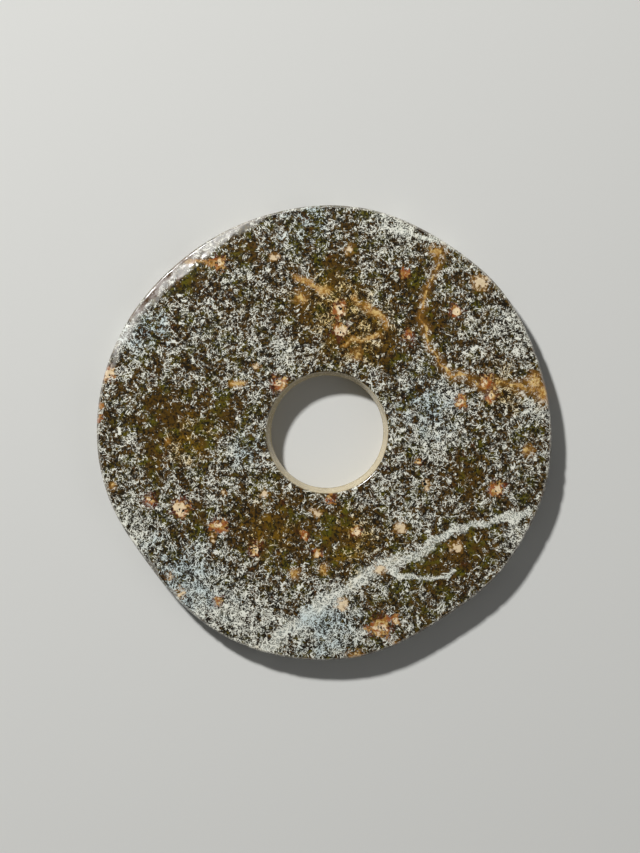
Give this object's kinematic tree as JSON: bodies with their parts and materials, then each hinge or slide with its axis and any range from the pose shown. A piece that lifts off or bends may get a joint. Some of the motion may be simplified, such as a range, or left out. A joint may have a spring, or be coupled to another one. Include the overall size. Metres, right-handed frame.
{
  "type": "jade bi disc",
  "caption": "Flat round slab of mottled jade with a tapered hole drilled from both faces, a worn rim, ground bevels and flake scars.",
  "frame": {"origin": "on the plane of the lower face, under the middle of the rim's outline", "axes": "+Z through the disc from the lower face to the upper face; +Y towards the rim's top as the disc is seen from above, +X to the right"},
  "size_m": [0.183, 0.183, 0.012],
  "materials": {
    "jade": "polished nephrite: dark olive brown under a dense web of short white fibres, with rust pits, ochre veins and pale cloudy bands"
  },
  "bodies": {
    "root": {"jade_disc": "jade"}
  },
  "joints": []
}
